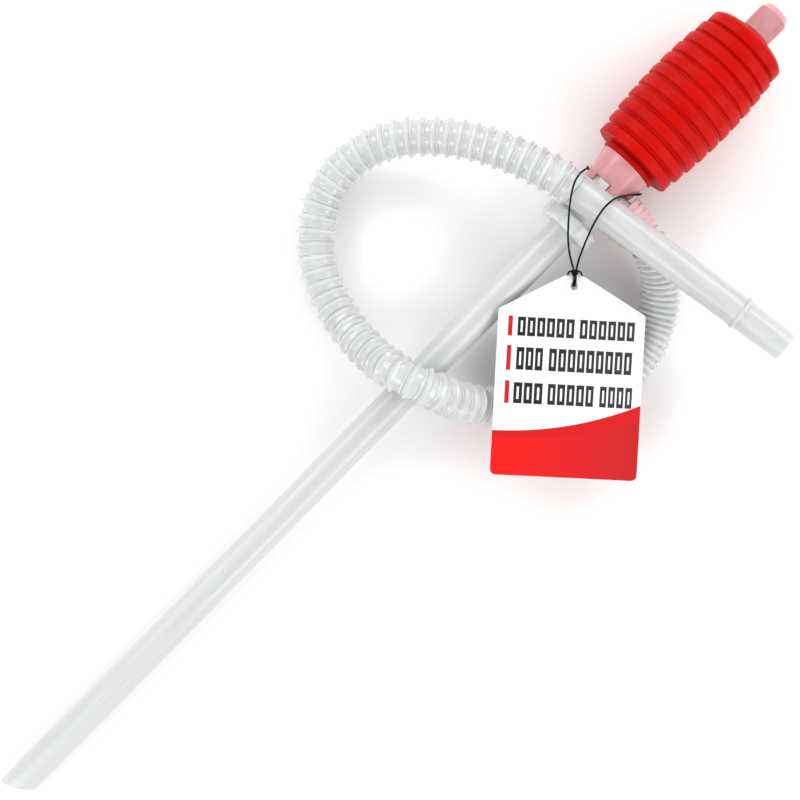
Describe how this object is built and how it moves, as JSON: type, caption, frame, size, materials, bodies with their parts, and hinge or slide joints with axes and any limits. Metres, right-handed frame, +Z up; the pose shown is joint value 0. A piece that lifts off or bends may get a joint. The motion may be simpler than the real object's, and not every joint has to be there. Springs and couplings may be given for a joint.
{
  "type": "hand siphon pump",
  "caption": "Hand siphon pump: ribbed red squeeze bulb with screw vent cap, valve body with side outlet, rigid suction tube, corrugated discharge hose ending in a straight spout, hang tag.",
  "frame": {"origin": "under the middle of the pump's own box (hose, spout and tag left out), on the surface that it lies on", "axes": "+X along the pump from the suction tube's tip towards the vent cap, -Y the way the outlet port points, +Z up"},
  "size_m": [0.6852, 0.2857, 0.0705],
  "materials": {
    "clear_poly": "natural translucent polyethylene, smooth, slightly waxy gloss",
    "frosted_poly": "natural moulded polyethylene, frosted, satin",
    "valve_poly": "white moulded plastic, satin",
    "cuff_poly": "soft translucent plastic with a faint pink tint, satin",
    "tinted_poly": "pink-red tinted translucent plastic, satin gloss",
    "cap_poly": "pink-red tinted translucent plastic, finely ribbed",
    "red_poly": "blow-moulded red polyethylene, smooth, soft gloss",
    "hose_poly": "corrugated natural polyethylene, translucent, gloss",
    "seal_rubber": "natural silicone rubber, pale, satin",
    "card": "coated white card, red along its foot",
    "eyelet_plastic": "white plastic, satin",
    "cord_black": "black twisted string, matt"
  },
  "bodies": {
    "pump": {"suction_tube": "clear_poly", "valve_body": "frosted_poly", "inlet_valve_seat": "valve_poly", "inlet_valve_guide": "valve_poly", "outlet_valve_seat": "valve_poly", "outlet_valve_guide": "valve_poly", "hose_cuff": "cuff_poly", "discharge_hose": "hose_poly", "discharge_spout": "clear_poly", "hang_tag": "card", "tag_eyelet": "eyelet_plastic", "tag_knot": "cord_black", "tag_string": "cord_black"},
    "tube_seal": {"tube_seal": "seal_rubber"},
    "collar": {"tube_collar": "frosted_poly"},
    "inlet_valve": {"inlet_valve_disc": "valve_poly"},
    "outlet_valve": {"outlet_valve_disc": "valve_poly"},
    "bulb": {"bulb_cup": "tinted_poly", "neck_seal": "seal_rubber", "squeeze_bulb": "red_poly", "vent_nozzle": "red_poly"},
    "vent_seal": {"vent_seal": "seal_rubber"},
    "cap": {"vent_cap": "cap_poly"}
  },
  "joints": [
    {"name": "collar_travel", "type": "slide", "parent": "pump", "child": "tube_seal", "axis": [-0.9993, 0, -0.0361], "range_m": [0, 0.0025]},
    {"name": "collar_turn", "type": "hinge", "parent": "tube_seal", "child": "collar", "pos_m": [0.157, 0.0036, 0.02785], "axis": [-0.9993, 0, -0.0361], "range_deg": [0, 360]},
    {"name": "inlet_valve_lift", "type": "slide", "parent": "pump", "child": "inlet_valve", "axis": [0.9993, 0, 0.0361], "range_m": [0, 0.003]},
    {"name": "outlet_valve_lift", "type": "slide", "parent": "pump", "child": "outlet_valve", "axis": [0, -1, 0], "range_m": [0, 0.003]},
    {"name": "bulb_twist", "type": "hinge", "parent": "pump", "child": "bulb", "pos_m": [0.20207, 0.0036, 0.02948], "axis": [0.9993, 0, 0.0361], "range_deg": [0, 14]},
    {"name": "cap_travel", "type": "slide", "parent": "bulb", "child": "vent_seal", "axis": [0.9993, 0, 0.0361], "range_m": [0, 0.005]},
    {"name": "cap_turn", "type": "hinge", "parent": "vent_seal", "child": "cap", "pos_m": [0.33, 0.0036, 0.0341], "axis": [0.9993, 0, 0.0361], "range_deg": [0, 720]}
  ],
  "couplings": [
    {"joint": "collar_travel", "follows": "collar_turn", "m_per_rad": 0.000397},
    {"joint": "cap_travel", "follows": "cap_turn", "m_per_rad": 0.000397}
  ]
}
